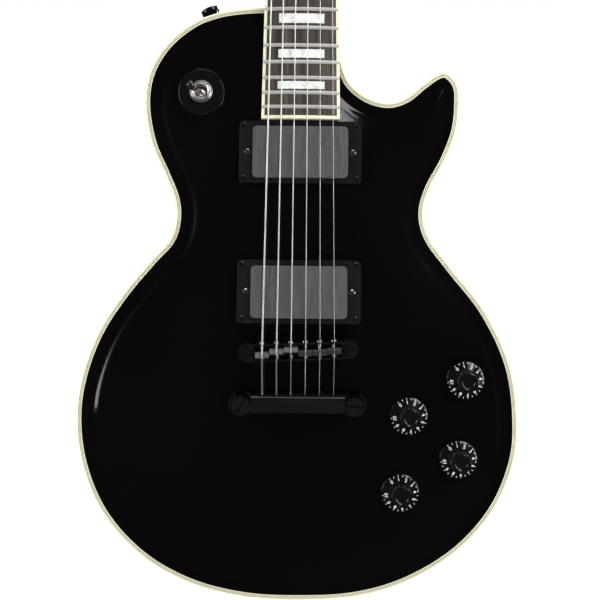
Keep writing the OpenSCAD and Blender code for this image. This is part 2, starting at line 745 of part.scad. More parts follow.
// Bridge posts in their anchors, and the sleeves that the tailpiece studs screw into
module posts_and_bushings() {
  color([0.2, 0.2, 0.21]) upright() {
    on_bridge() for (s = [-1, 1]) translate([s * post_spacing / 2, 0, 0]) difference() {
      union() {
        rod(3.95, 38, top_z - 2);
        rod(post_top_r, top_z - 3, 76.2);
      }
      rotate(s * 25) translate([-5, -0.45, 75.2]) cube([10, 0.9, 2]);
    }
    for (s = [-1, 1]) translate([s * stud_spacing / 2, tailpiece_y, 0])
      tube(5.95, 3.56, 37, top_z + 0.2);
  }
}
module thumbwheel(s) {
  color([0.12, 0.12, 0.13]) upright() on_bridge() translate([s * post_spacing / 2, 0, 0])
    difference() {
      union() {
        rod(7.2, 64.1, 66.1);
        for (k = [0:11]) rotate(k * 30) translate([7.1, 0, 64.1]) cube([0.7, 1.6, 2]);
      }
      rod(post_top_r + 0.06, 60, 70);
    }
}
module saddle(i) {
  back = saddle_back(i);
  low = break_point(i)[2] - gauges[i - 1] / 2;
  tip = low + 0.33;
  foot = channel_floor + 0.1;
  notch = gauges[i - 1] + 0.5;
  side = i <= 3
    ? [[0, foot], [saddle_len, foot], [saddle_len, tip - 3.4], [1.1, tip], [0.3, tip], [0, tip - 0.6]]
    : [[0, foot], [saddle_len, foot], [saddle_len, tip - 0.6], [saddle_len - 0.3, tip],
       [saddle_len - 1.1, tip], [0, tip - 3.4]];
  color([0.5, 0.5, 0.5]) upright() on_bridge() difference() {
    translate([peak(i)[0] - saddle_w / 2, back, 0]) rotate([90, 0, 90])
      linear_extrude(saddle_w) polygon(side);
    translate([peak(i)[0], 0, screw_z]) rotate([90, 0, 0])
      cylinder(r = 1.3, h = 60, center = true);
    translate([peak(i)[0] - notch / 2, back - 1, low - 0.2]) cube([notch, saddle_len + 2, 5]);
  }
}
module saddle_screws() {
  color([0.6, 0.6, 0.6]) upright() on_bridge() for (i = [1:6])
    translate([peak(i)[0], 0, screw_z]) rotate([-90, 0, 0]) difference() {
      union() {
        rod(1.24, -bridge_w / 2 + 0.3, bridge_w / 2 - 0.5);
        rod(2, bridge_w / 2 - 0.55, bridge_w / 2 + 1.2);
      }
      translate([-3, -0.3, bridge_w / 2 + 0.5]) cube([6, 0.6, 2]);
    }
}

// ---- tailpiece ----
tail_bottom = 63.6;
tail_top = 74.6;
bar_w = 13.6;
module tailpiece() {
  color([0.07, 0.07, 0.075]) upright() translate([0, tailpiece_y + 1, 0]) difference() {
    union() {
      intersection() {
        translate([0, 0, (tail_bottom + tail_top) / 2]) rotate([0, 90, 0])
          cylinder(r = bar_w / 2 + 0.6, h = 68, center = true);
        translate([-34, -bar_w / 2, tail_bottom]) cube([68, bar_w, tail_top - tail_bottom]);
      }
      translate([0, 0, tail_bottom + 1]) linear_extrude(6.4) union() {
        square([stud_spacing, bar_w], center = true);
        for (s = [-1, 1]) translate([s * stud_spacing / 2, 0]) circle(9.2);
      }
    }
    for (s = [-1, 1]) translate([s * stud_spacing / 2, -1, 0]) {
      rod(3.7, 60, 80);
      translate([-3.7, 0, 60]) cube([7.4, 12, 20]);
      rod(6.9, tail_bottom + 6.4, 80);
      translate([-6.9, 0, tail_bottom + 6.4]) cube([13.8, 14, 20]);
    }
    for (i = [1:6]) translate([bridge_spread * spread_steps[i - 1], 0, anchor_z])
      rotate([90, 0, 0]) cylinder(r = 1.9, h = 40, center = true);
  }
}
module tailpiece_studs() {
  color([0.15, 0.15, 0.16]) upright() for (s = [-1, 1])
    translate([s * stud_spacing / 2, tailpiece_y, 0]) {
      difference() {
        union() {
          rod(3.5, 40, 73);
          rod(6.6, top_z + 0.5, tail_bottom + 0.8);
          rod(6.6, tail_bottom + 7.6, tail_bottom + 11);
        }
        rotate(s < 0 ? 57 : -5) translate([-8, -0.7, tail_bottom + 9.8]) cube([16, 1.4, 4]);
      }
    }
}

// ---- pickups ----
cover_top = 2.6;   // gap from the strings' centre plane down to the cover
cover_deep = 20;
module at_pickup(y) {
  z = to_bench([0, y - board_end_y, nut_lift + (board_len - y + board_end_y) * string_slope])[2];
  translate([0, y, z]) rotate([-neck_angle, 0, 0]) children();
}
module pickup(y) {
  at_pickup(y) difference() {
    union() {
      round_plate(cover_w, cover_h, 3.4, -cover_top - cover_deep, -cover_top);
      round_plate(81, 13, 2, -cover_top - cover_deep + 1, -cover_top - cover_deep + 3);
    }
    for (s = [-1, 1]) translate([s * 38.4, 0, 0]) rod(1.3, -40, -10);
  }
}
module pickup_neck() {
  color([0.2, 0.2, 0.21]) upright() pickup(neck_pickup_y);
}
module pickup_bridge() {
  color([0.2, 0.2, 0.21]) upright() pickup(bridge_pickup_y);
}
module pickup_rings() {
  color([0.03, 0.03, 0.03]) upright() for (y = pickup_spots) difference() {
    intersection() {
      translate([0, y, 0]) round_plate(ring_w, ring_h, 3, top_z - 1.78, 90);
      at_pickup(y) translate([-60, -40, -40]) cube([120, 80, 40 - 5.4]);
    }
    at_pickup(y) round_plate(cover_w + 0.9, cover_h + 0.9, 3.6, -40, 10);
    for (s = [-1, 1]) at_pickup(y) translate([s * 38.4, 0, 0]) rod(1.5, -40, 10);
    for (i = [-1, 1], k = [-1, 1])
      translate([i * (ring_w / 2 - 3.6), y + k * (ring_h / 2 - 3.4), 0]) rod(1.3, 30, 90);
    // Open underside, so that only the walls stand on the top
    at_pickup(y) for (hollow = [[41.2, 14], [36.6, 20]])
      translate([-hollow[0], -hollow[1], -40]) cube([2 * hollow[0], 2 * hollow[1], 40 - 7.6]);
  }
}
module pickup_screws() {
  color([0.7, 0.7, 0.7]) upright() for (y = pickup_spots) at_pickup(y) for (s = [-1, 1])
    translate([s * 38.4, 0, -5.35]) {
      screw(2.4, 1.2, 1.2, 19);
      // Height spring between the ring and the pickup's ear
      translate([0, 0, -11.4]) for (k = [0:4]) translate([0, 0, k * 1.9]) rotate_extrude()
        translate([2.1, 0]) circle(0.35, $fn = 16);
    }
}

// ---- controls ----
// The carved top's height on the side of a round part that faces the middle
function high_side(p, r) = carved_z(p + (heart - p) * r / norm(heart - p));
function knob_base(p) = high_side(p, knob_dia / 2) + 0.4;
module knob(i) {
  p = knob_spots[i];
  r = knob_dia / 2;
  color([0.03, 0.03, 0.03]) upright() translate([p[0], p[1], knob_base(p)]) difference() {
    union() {
      rotate_extrude() polygon([[0, 2.6], [0, knob_high - 1.2], [4.6, knob_high - 1.2],
        [5.6, knob_high], [7.9, knob_high], [8.7, knob_high - 0.8], [9.7, 5.2], [10.2, 4.2],
        [12.6, 2.6], [r, 1.8], [r, 0.3], [r - 1, 0], [r - 1.6, 1], [10, 2.6]]);
      rod(3, -17, 3);
    }
    translate([-0.5, -4, -20]) cube([1, 8, 6]);
  }
}
module potentiometers() {
  color([0.65, 0.65, 0.67]) upright() for (p = knob_spots) translate([p[0], p[1], 0]) {
    difference() {
      union() {
        rod(12, 34, 46.4);
        rod(4.7, 46, knob_base(p) + 2);
      }
      rod(3.06, knob_base(p) - 17.5, 80);
      rod(11, 35, 40);
    }
    for (k = [-1, 0, 1]) translate([k * 5 - 1, -16, 41]) cube([2, 5, 1]);
    difference() {
      translate([0, 0, high_side(p, 6.4) + 0.05]) cylinder(r = 6.4, h = 1.9, $fn = 6);
      rod(4.75, 50, 70);
    }
  }
}
lever_rest = 15;
lever_pivot_z = -2.6;
// Switch frame: square to the top, with z = 0 on its surface
module at_switch() {
  translate([switch_spot[0], switch_spot[1], carved_z(switch_spot)]) rotate([-neck_angle, 0, 0])
    children();
}
module lever_pin(r, l) {
  translate([0, 0, lever_pivot_z]) rotate([90, 0, 0]) cylinder(r = r, h = l, center = true);
}
module switch_body() {
  color([0.6, 0.6, 0.6]) upright() at_switch() difference() {
    union() {
      rod(5.9, -22, 1.7);
      translate([-14, -9, -24]) cube([28, 18, 9]);
      for (k = [-1, 0, 1]) translate([k * 5 - 1.5, -5, -48]) cube([3, 10, 25]);
    }
    rod(3.9, lever_pivot_z - 3.9, 20);
    translate([0, 0, lever_pivot_z - 14]) cylinder(r1 = 5.4, r2 = 3.9, h = 10.2);
    translate([-12, -3.4, -22]) cube([24, 6.8, 5]);
    lever_pin(0.86, 14);
  }
}
module switch_lever() {
  upright() at_switch() color([0.8, 0.8, 0.8]) lever_pin(0.8, 10.4);
  upright() at_switch() translate([0, 0, lever_pivot_z]) rotate([0, -lever_rest, 0]) {
    color([0.8, 0.8, 0.8]) {
      sphere(3.7);
      rod(1.6, -13, 14);
    }
    color([0.03, 0.03, 0.03]) {
      translate([0, 0, 12]) cylinder(r1 = 2.3, r2 = 3.1, h = 9);
      translate([0, 0, 21]) sphere(3.1);
    }
  }
}
module switch_washer() {
  upright() at_switch() {
    color([0.03, 0.03, 0.03]) tube(washer_dia / 2, 6, 0.22, 1.35);
    color([0.8, 0.78, 0.74]) difference() {
      union() {
        rod(8.5, 1.4, 2.65);
        rod(7.4, 2.55, 4.05);
      }
      rod(5.95, 0, 3.45);
      rod(5, 2, 9);
      for (k = [0:11]) rotate(k * 30) translate([7.9, -0.5, 1]) cube([2, 1, 3]);
    }
  }
}
jack_depth = 26;
module output_jack() {
  upright() at_jack() {
    color([0.1, 0.1, 0.1]) difference() {
      rotate([0, 90, 0]) round_plate(34, 34, 3, -1.1, 0.9);
      rotate([0, 90, 0]) rod(4.9, -4, 4);
      for (y = [-1, 1], z = [-1, 1]) translate([0, y * 13, z * 13]) rotate([0, 90, 0]) rod(1.2, -4, 4);
    }
    color([0.75, 0.75, 0.75]) rotate([0, 90, 0]) difference() {
      union() {
        rod(4.8, -jack_depth, 3.6);
        rod(10, -jack_depth, -4);
        rod(7, 0.95, 1.6);
        translate([0, 0, 1.6]) cylinder(r = 6.8, h = 1.6, $fn = 6);
      }
      rod(jack_bore / 2, -jack_depth + 2, 6);
      difference() {
        rod(8.8, -jack_depth + 2, -6);
        rod(jack_bore / 2 + 1, -jack_depth, 0);
      }
    }
  }
}
module rear_covers() {
  color([0.03, 0.03, 0.03]) upright() difference() {
    union() {
      translate([0, 0, 0.1]) linear_extrude(cover_face - 0.2) grown_marks(cover_ledge);
      translate([switch_spot[0], switch_spot[1], 0]) rod(switch_cover_r, 0.1, cover_face - 0.1);
    }
    for (p = concat(cover_screws, switch_cover_screws)) translate([p[0], p[1], 0]) rod(1.3, -1, 5);
  }
}

// ---- strap buttons and small fasteners ----
module at_end_button() {
  translate([0, 0, rim_mid]) rotate([90, 0, 0]) children();
}
module at_shoulder_button() {
  translate([shoulder_spot[0], shoulder_spot[1], rim_mid]) rotate([0, 0, shoulder_heading])
    rotate([0, 90, 0]) children();
}
module strap_button() {
  r = button_dia / 2;
  // Trumpet-shaped button with a flat head rim
  rotate_extrude() polygon([[0, 0.1], [6.2, 0.1], [5.4, 1.6], [3.9, 4], [3.5, 6.5], [3.9, 8.6],
    [5.4, 10.4], [r, 10.7], [r, 13.2], [r - 0.8, button_len], [4, button_len], [3.4, 12.9],
    [0, 12.9]]);
  rod(2, -22, 1);
}
module strap_buttons() {
  color([0.1, 0.1, 0.1]) upright() {
    at_end_button() strap_button();
    at_shoulder_button() strap_button();
  }
}
module small_screws() {
  color([0.12, 0.12, 0.12]) upright() {
    for (y = pickup_spots) for (i = [-1, 1], k = [-1, 1])
      translate([i * (ring_w / 2 - 3.6), y + k * (ring_h / 2 - 3.4), 0])
        translate([0, 0, ring_top(y + k * (ring_h / 2 - 3.4)) + 0.12]) screw(2.1, 0.9, 1.1, 12);
    for (p = concat(cover_screws, switch_cover_screws)) translate([p[0], p[1], 0.1 - eps])
      rotate([180, 0, 0]) screw(2.4, 0.08, 1.1, 9);
    at_jack() for (y = [-1, 1], z = [-1, 1]) translate([0.95, y * 13, z * 13])
      rotate([0, 90, 0]) screw(2.2, 0.8, 1, 9);
    for (y = [7, 29]) on_head() translate([0, y, 2.05]) screw(1.8, 0.7, 0.9, y > 20 ? 5 : 1.9);
  }
}
// Height of a ring's face above the back, at y
function ring_top(y) =
  let (mid = abs(y - neck_pickup_y) < 40 ? neck_pickup_y : bridge_pickup_y)
  let (z = to_bench([0, mid - board_end_y,
    nut_lift + (board_len - mid + board_end_y) * string_slope])[2])
  z - 5.4 / cos(neck_angle) - (y - mid) * tan(neck_angle);
module battery() {
  color([0.1, 0.1, 0.12]) upright() translate([100, 126, 4]) rotate(-35) {
    translate([-24, -12.5, 0]) cube([44, 25, 17]);
    for (y = [-6.5, 6.5]) translate([19.9, y, 8.5]) rotate([0, 90, 0]) rod(3.4, 0, 2.6);
  }
}
module wiring() {
  r = 1.2;
  routes = [
    [[-66, 373, 27], [-62, 368.6, 30], [-58, 365.2, 34.6], [-40, 350.8, 34.6], [-28, 338, 34.6],
     [22, 333, 34.6], [31, 325, 34.6], [44, 293, 34.6], [92, 173, 34.6], [96, 168, 31],
     [99, 162, 31]],
    [[2, 318, 35], [2, 250, 35]],
    [[41.5, 225.5, 35], [85, 166, 35], [84, 160, 31], [82, 156, 31]],
    [[44, 294, 37.4], [92, 173, 37.4], [100, 172, 31], [108, 166, 31]],
    [[80, 128, 31], [76, 100, 31], [78, 90, 31]],
    [[121, 156, 31], [119, 124, 31], [118, 118, 31]]
  ];
  color([0.25, 0.25, 0.25]) upright() for (route = routes) swept(route, r);
}

body_back();
body_top();
binding_front();
binding_back();
neck();
truss_rod();
truss_rod_cover();
headstock_veneer();
headstock_binding();
fingerboard();
fingerboard_binding();
frets();
position_markers();
nut();
tuner_housings();
for (i = [1:6]) tuner_post(i);
for (i = [1:6]) tuner_key(i);
strings_wound();
strings_plain();
bridge_body();
posts_and_bushings();
thumbwheel(-1);  // thumbwheel_bass
thumbwheel(1);  // thumbwheel_treble
saddle_screws();
for (i = [1:6]) saddle(i);
tailpiece();
tailpiece_studs();
pickup_neck();
pickup_bridge();
pickup_rings();
pickup_screws();
potentiometers();
for (i = [0:3]) knob(i);
switch_body();
switch_lever();
switch_washer();
output_jack();
rear_covers();
strap_buttons();
small_screws();
battery();
wiring();
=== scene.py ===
"""Looks of a black single-cutaway electric guitar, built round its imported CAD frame.

Points are worked out on the bench of the part's own source, in millimetres: x to the treble
side, y up the neck from the tail, z out of the front. row() turns them into the row frame.
"""

from math import asin, atan, cos, pi, radians, sin, sqrt, tan

import bmesh
import bpy
import numpy as np
from mathutils import Matrix, Vector


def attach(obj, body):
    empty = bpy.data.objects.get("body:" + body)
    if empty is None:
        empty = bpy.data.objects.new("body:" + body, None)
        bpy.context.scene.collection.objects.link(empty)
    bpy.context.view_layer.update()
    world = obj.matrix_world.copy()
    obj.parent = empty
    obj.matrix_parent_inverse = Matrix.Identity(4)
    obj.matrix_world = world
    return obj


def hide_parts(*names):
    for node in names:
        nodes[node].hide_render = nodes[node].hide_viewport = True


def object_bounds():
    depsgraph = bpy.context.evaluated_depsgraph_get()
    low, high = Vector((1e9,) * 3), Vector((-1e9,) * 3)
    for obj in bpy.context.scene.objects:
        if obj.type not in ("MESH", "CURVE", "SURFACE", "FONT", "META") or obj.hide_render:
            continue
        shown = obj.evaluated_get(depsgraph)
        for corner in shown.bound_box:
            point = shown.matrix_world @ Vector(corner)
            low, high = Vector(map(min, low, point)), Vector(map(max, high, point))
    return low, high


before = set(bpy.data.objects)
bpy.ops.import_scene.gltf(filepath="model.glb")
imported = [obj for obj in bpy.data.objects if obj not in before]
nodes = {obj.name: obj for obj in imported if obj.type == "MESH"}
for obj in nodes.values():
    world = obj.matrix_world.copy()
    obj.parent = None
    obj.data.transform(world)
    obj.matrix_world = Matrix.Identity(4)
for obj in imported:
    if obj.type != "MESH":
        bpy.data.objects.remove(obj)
cad_low, cad_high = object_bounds()
scene = bpy.context.scene

# ---- frames ----
MM = 0.001
RIM_MID = 25.0        # the rim's middle depth lies in the row's y = 0 plane
TAIL_RISE = 12.0      # height of the body's tail above the strap button's head
NECK_TILT = radians(3.6)
HEAD_TILT = radians(15)
BOARD_Y, BOARD_Z = 358.2, 59.0


def row(p):
    return (p[0] * MM, (RIM_MID - p[2]) * MM, (p[1] + TAIL_RISE) * MM)


def from_neck(p):
    """Neck frame to bench."""
    return (
        p[0],
        BOARD_Y + p[1] * cos(NECK_TILT) + p[2] * sin(NECK_TILT),
        BOARD_Z - p[1] * sin(NECK_TILT) + p[2] * cos(NECK_TILT),
    )


def from_head(p):
    """Headstock frame to bench."""
    return from_neck(
        (
            p[0],
            HEAD_START + p[1] * cos(HEAD_TILT) + p[2] * sin(HEAD_TILT),
            0.5 - p[1] * sin(HEAD_TILT) + p[2] * cos(HEAD_TILT),
        )
    )


# ---- body outline, as in the part's source ----
OUTLINE_MARKS = [
    (-28, 444), (-44, 443), (-62, 440), (-80, 433), (-100, 417), (-113, 396), (-117, 373),
    (-112, 342), (-101, 317), (-94, 299), (-93, 284), (-97, 270), (-111, 254), (-133, 227),
    (-151, 198), (-163, 163), (-166, 133), (-161, 99), (-145, 63), (-116, 32), (-80, 12),
    (-40, 2), (0, 0), (45, 3), (84, 15), (122, 39), (149, 71), (163, 107), (165, 137),
    (159, 178), (140, 218), (113, 252), (97, 274), (93, 291), (97, 308), (109, 331),
    (117, 353), (119, 374), (118, 386), (113, 394), (107, 397), (101, 395), (90, 387),
    (79, 378), (68, 374), (57, 375), (46, 380), (37, 388), (32, 398), (29, 411), (28, 428),
    (28, 444),
]
HEAD_MARKS = [
    (21.5, 0), (24, 12), (32, 30), (37, 50), (38, 90), (39.5, 128), (41.5, 156), (40, 168),
    (31, 177), (14, 182.5), (0, 183.5),
]
COVER_MARKS = [
    (124, 186), (143, 172), (142, 128), (128, 92), (88, 66), (60, 68), (56, 100), (62, 146),
    (84, 166),
]
HEART = np.array((0.0, 200.0))
SCALE = 628.65
BOARD_LEN = SCALE * (1 - 2 ** (-22 / 12)) + 8.6
HEAD_START = BOARD_LEN + 5
SADDLE_LINE = BOARD_LEN - SCALE
RIM_THICK, SEAM_Z, TOP_Z = 50.0, 42.0, 60.0
PLY, BAND = 1.6, 4.0
CARVE_WIDTH, CROWN_FALL = 42.0, 2.0


def span(a, b, c, d, f):
    """One point of a centripetal Catmull-Rom span from b to c."""
    t1 = sqrt(np.linalg.norm(b - a))
    t2 = t1 + sqrt(np.linalg.norm(c - b))
    t3 = t2 + sqrt(np.linalg.norm(d - c))
    t = t1 + (t2 - t1) * f
    p = a * (t1 - t) / t1 + b * t / t1
    q = b * (t2 - t) / (t2 - t1) + c * (t - t1) / (t2 - t1)
    r = c * (t3 - t) / (t3 - t2) + d * (t - t2) / (t3 - t2)
    pq = p * (t2 - t) / t2 + q * t / t2
    qr = q * (t3 - t) / (t3 - t1) + r * (t - t1) / (t3 - t1)
    return pq * (t2 - t) / (t2 - t1) + qr * (t - t1) / (t2 - t1)


def open_curve(marks, steps):
    m = [np.array(p, float) for p in marks]
    e = [2 * m[0] - m[1]] + m + [2 * m[-1] - m[-2]]
    line = [
        span(e[i], e[i + 1], e[i + 2], e[i + 3], k / steps)
        for i in range(len(m) - 1)
        for k in range(steps)
    ]
    return np.array(line + [m[-1]])


def closed_curve(marks, steps):
    m = [np.array(p, float) for p in marks]
    n = len(m)
    return np.array([
        span(m[i - 1], m[i], m[(i + 1) % n], m[(i + 2) % n], k / steps)
        for i in range(n)
        for k in range(steps)
    ])


def normals(line):
    """Outward normals of an outline that runs counter-clockwise."""
    t = np.empty_like(line)
    t[1:-1] = line[2:] - line[:-2]
    t[0], t[-1] = line[1] - line[0], line[-1] - line[-2]
    t /= np.linalg.norm(t, axis=1)[:, None]
    return np.stack([t[:, 1], -t[:, 0]], 1)


RIM_STEPS = 8
rim = open_curve(OUTLINE_MARKS, RIM_STEPS)
rim_out = normals(rim)


def inset(d):
    return rim - rim_out * d


def with_end(line):
    """Closes an outline across the neck's end with a few more points."""
    more = [line[-1] + (line[0] - line[-1]) * k / 8 for k in range(1, 8)]
    return np.vstack([line, more])


def rim_gap(p):
    """Distance from each of some points to the outline."""
    a, b = rim[:-1], rim[1:]
    best = np.full(len(p), 1e9)
    for s, e in zip(a, b):
        d = e - s
        f = np.clip(((p - s) @ d) / (d @ d), 0, 1)
        best = np.minimum(best, np.linalg.norm(p - s - f[:, None] * d, axis=1))
    return best


def carved_z(p):
    """Height of the carved top over some points."""
    p = np.atleast_2d(np.asarray(p, float))
    gap = rim_gap(p)
    plane = BOARD_Z - (p[:, 1] - BOARD_Y) * tan(NECK_TILT)
    crown = np.minimum(TOP_Z, plane) - CROWN_FALL * (p[:, 0] / 165) ** 2
    q = np.clip((gap - BAND) / (CARVE_WIDTH - BAND), 0, 1)
    dip = np.clip((gap - BAND) / 14, 0, 1)
    return RIM_THICK + (crown - RIM_THICK) * q * q * (3 - 2 * q) - 0.7 * np.sin(pi * dip) ** 2


# ---- materials ----
def node_material(name):
    m = bpy.data.materials.new(name)
    m.use_nodes = True
    tree = m.node_tree
    shader = tree.nodes["Principled BSDF"]
    return m, tree, shader


def coords(tree, stretch=(1, 1, 1)):
    where = tree.nodes.new("ShaderNodeTexCoord")
    mapping = tree.nodes.new("ShaderNodeMapping")
    mapping.inputs["Scale"].default_value = stretch
    tree.links.new(where.outputs["Object"], mapping.inputs["Vector"])
    return mapping.outputs["Vector"]


def noise(tree, vector, scale, detail=4.0, rough=0.55, distortion=0.0):
    n = tree.nodes.new("ShaderNodeTexNoise")
    n.inputs["Scale"].default_value = scale
    n.inputs["Detail"].default_value = detail
    n.inputs["Roughness"].default_value = rough
    n.inputs["Distortion"].default_value = distortion
    tree.links.new(vector, n.inputs["Vector"])
    return n.outputs["Fac"]


def ramp(tree, factor, stops):
    r = tree.nodes.new("ShaderNodeValToRGB")
    while len(r.color_ramp.elements) < len(stops):
        r.color_ramp.elements.new(0.5)
    for e, (at, colour) in zip(r.color_ramp.elements, stops):
        e.position = at
        e.color = (*colour, 1)
    tree.links.new(factor, r.inputs["Fac"])
    return r.outputs["Color"]


def between(tree, factor, low, high):
    r = tree.nodes.new("ShaderNodeMapRange")
    r.inputs["To Min"].default_value = low
    r.inputs["To Max"].default_value = high
    tree.links.new(factor, r.inputs["Value"])
    return r.outputs["Result"]


def bump(tree, shader, height, strength, distance):
    b = tree.nodes.new("ShaderNodeBump")
    b.inputs["Strength"].default_value = strength
    b.inputs["Distance"].default_value = distance
    tree.links.new(height, b.inputs["Height"])
    tree.links.new(b.outputs["Normal"], shader.inputs["Normal"])


def surface(name, colour, rough, metal=0.0, specular=0.5, tint=0.08, scale=60.0,
            rough_swing=0.05, stretch=(1, 1, 1), grain=900.0, depth=0.00002, coat=0.0):
    """A surface whose colour, gloss and relief vary gently, at two scales."""
    m, tree, shader = node_material(name)
    vector = coords(tree, stretch)
    broad = noise(tree, vector, scale)
    dark = tuple(c * (1 - tint) for c in colour)
    light = tuple(min(1, c * (1 + tint)) for c in colour)
    tree.links.new(ramp(tree, broad, [(0.3, dark), (0.7, light)]), shader.inputs["Base Color"])
    fine = noise(tree, vector, grain, detail=3)
    tree.links.new(between(tree, fine, rough - rough_swing, rough + rough_swing),
                   shader.inputs["Roughness"])
    shader.inputs["Metallic"].default_value = metal
    shader.inputs["Specular IOR Level"].default_value = specular
    shader.inputs["Coat Weight"].default_value = coat
    shader.inputs["Coat Roughness"].default_value = 0.03
    bump(tree, shader, fine, 0.25, depth)
    return m


LACQUER = surface("black_lacquer", (0.0012, 0.0012, 0.0013), 0.09, specular=0.16, tint=0.3,
                  scale=9, rough_swing=0.02, grain=260, depth=0.000006)
CREAM = surface("cream_binding", (0.60, 0.57, 0.42), 0.3, tint=0.05, scale=35,
                rough_swing=0.06, grain=1200, depth=0.00001)
BLACK_LINE = surface("black_ply", (0.012, 0.012, 0.012), 0.3, tint=0.2, scale=80)
FRET_WIRE = surface("fret_wire", (0.50, 0.49, 0.46), 0.3, metal=0.5, tint=0.06, scale=300,
                    rough_swing=0.08, stretch=(1, 1, 6), grain=2200)
BONE = surface("bone", (0.62, 0.59, 0.50), 0.38, tint=0.05, scale=90, rough_swing=0.08,
               stretch=(1, 1, 4), grain=1400)
STEEL_ROD = surface("steel_rod", (0.45, 0.44, 0.43), 0.35, metal=1, scale=120)
BLACK_PLASTIC = surface("black_plastic", (0.006, 0.006, 0.0065), 0.12, specular=0.5, tint=0.2,
                        scale=40, rough_swing=0.05, grain=800, depth=0.00001)
BLACK_METAL = surface("black_metal", (0.008, 0.008, 0.009), 0.2, metal=0.5, specular=0.3,
                      tint=0.15, scale=70, rough_swing=0.06, grain=1600, depth=0.00001)
SADDLE_METAL = surface("saddle_metal", (0.065, 0.065, 0.062), 0.5, metal=0.7, tint=0.12,
                       scale=250, rough_swing=0.1, grain=3000)
SCREW_STEEL = surface("screw_steel", (0.34, 0.335, 0.32), 0.24, metal=1, tint=0.08, scale=400,
                      rough_swing=0.08, grain=3000)
NICKEL = surface("nickel", (0.80, 0.78, 0.74), 0.3, metal=1, tint=0.05, scale=150,
                 rough_swing=0.08, grain=1800, depth=0.00001)
BATTERY_CASE = surface("battery_case", (0.03, 0.03, 0.04), 0.35, tint=0.2, scale=50)
WIRE_JACKET = surface("wire_jacket", (0.08, 0.08, 0.08), 0.6, tint=0.2, scale=90)
WHITE_INK = surface("white_ink", (0.55, 0.56, 0.56), 0.55, specular=0.2, tint=0.05, scale=500)
KNOB_BLACK = surface("knob_black", (0.003, 0.003, 0.003), 0.16, specular=0.16, tint=0.2,
                     scale=60, rough_swing=0.06, grain=900, depth=0.00001)
STRING_PLAIN = surface("string_plain", (0.60, 0.59, 0.56), 0.36, metal=1, tint=0.08, scale=400,
                       stretch=(1, 1, 0.2), rough_swing=0.08, grain=2500)
STRING_WOUND = surface("string_wound", (0.56, 0.55, 0.51), 0.42, metal=1, tint=0.12, scale=700,
                       stretch=(1, 1, 0.5), rough_swing=0.1, grain=2500)


def rosewood():
    """Dark open-pored wood with its grain along the neck."""
    m, tree, shader = node_material("rosewood")
    vector = coords(tree, (1, 1, 0.045))
    streaks = noise(tree, vector, 320, detail=8, rough=0.65, distortion=0.6)
    colour = ramp(tree, streaks, [
        (0.30, (0.014, 0.011, 0.009)), (0.48, (0.034, 0.028, 0.022)),
        (0.62, (0.062, 0.051, 0.041)), (0.78, (0.098, 0.080, 0.065))])
    tree.links.new(colour, shader.inputs["Base Color"])
    pores = noise(tree, coords(tree, (1, 1, 0.12)), 1900, detail=2)
    tree.links.new(between(tree, pores, 0.35, 0.6), shader.inputs["Roughness"])
    shader.inputs["Specular IOR Level"].default_value = 0.35
    bump(tree, shader, pores, 0.5, 0.00006)
    return m


def pearl():
    """Cloudy mother-of-pearl plastic, with soft swirls of grey, white and green."""
    m, tree, shader = node_material("pearl")
    cloud = noise(tree, coords(tree, (1, 1, 0.7)), 140, detail=5, distortion=2.4)
    colour = ramp(tree, cloud, [
        (0.30, (0.36, 0.38, 0.36)), (0.45, (0.50, 0.52, 0.50)), (0.60, (0.60, 0.62, 0.60)),
        (0.75, (0.66, 0.67, 0.68))])
    tree.links.new(colour, shader.inputs["Base Color"])
    tree.links.new(between(tree, cloud, 0.12, 0.3), shader.inputs["Roughness"])
    shader.inputs["Sheen Weight"].default_value = 0.15
    shader.inputs["Coat Weight"].default_value = 0.3
    bump(tree, shader, cloud, 0.1, 0.00002)
    return m


def satin_cover():
    """Dark grey satin cap of a pickup, with faint upright brushing."""
    m, tree, shader = node_material("pickup_cover")
    lines = noise(tree, coords(tree, (1, 1, 0.03)), 900, detail=4)
    colour = ramp(tree, lines, [(0.32, (0.034, 0.035, 0.033)), (0.5, (0.046, 0.047, 0.044)),
                                (0.68, (0.060, 0.061, 0.058))])
    tree.links.new(colour, shader.inputs["Base Color"])
    speckle = noise(tree, coords(tree), 2600, detail=2)
    tree.links.new(between(tree, speckle, 0.45, 0.62), shader.inputs["Roughness"])
    shader.inputs["Specular IOR Level"].default_value = 0.4
    bump(tree, shader, speckle, 0.3, 0.00003)
    return m


ROSEWOOD, PEARL, SATIN = rosewood(), pearl(), satin_cover()

# ---- pieces made here ----
def finish_piece(o, body, replaces):
    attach(o, body)
    if replaces:
        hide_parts(*replaces)
    return o


def piece(name, points, faces, mats, body, replaces=(), face_mats=None, smooth=35.0,
          place=row):
    """A mesh from bench points, riding on a body of the frame."""
    mesh = bpy.data.meshes.new(name)
    mesh.from_pydata([place(p) for p in points], [], faces)
    if face_mats is not None:
        mesh.polygons.foreach_set("material_index", face_mats)
    b = bmesh.new()
    b.from_mesh(mesh)
    bmesh.ops.remove_doubles(b, verts=b.verts, dist=1e-7)
    bmesh.ops.recalc_face_normals(b, faces=b.faces)
    b.to_mesh(mesh)
    b.free()
    for m in mats if isinstance(mats, (list, tuple)) else [mats]:
        mesh.materials.append(m)
    o = bpy.data.objects.new(name, mesh)
    scene.collection.objects.link(o)
    soften(o, smooth)
    return finish_piece(o, body, replaces) if body else o


def soften(o, angle):
    for p in o.data.polygons:
        p.use_smooth = True
    o.data.set_sharp_from_angle(angle=radians(angle))


def rings_faces(count, n, closed=True, first=0):
    """Quads between consecutive rings of n points."""
    last = n if closed else n - 1
    return [
        (first + r * n + k, first + r * n + (k + 1) % n,
         first + (r + 1) * n + (k + 1) % n, first + (r + 1) * n + k)
        for r in range(count - 1)
        for k in range(last)
    ]


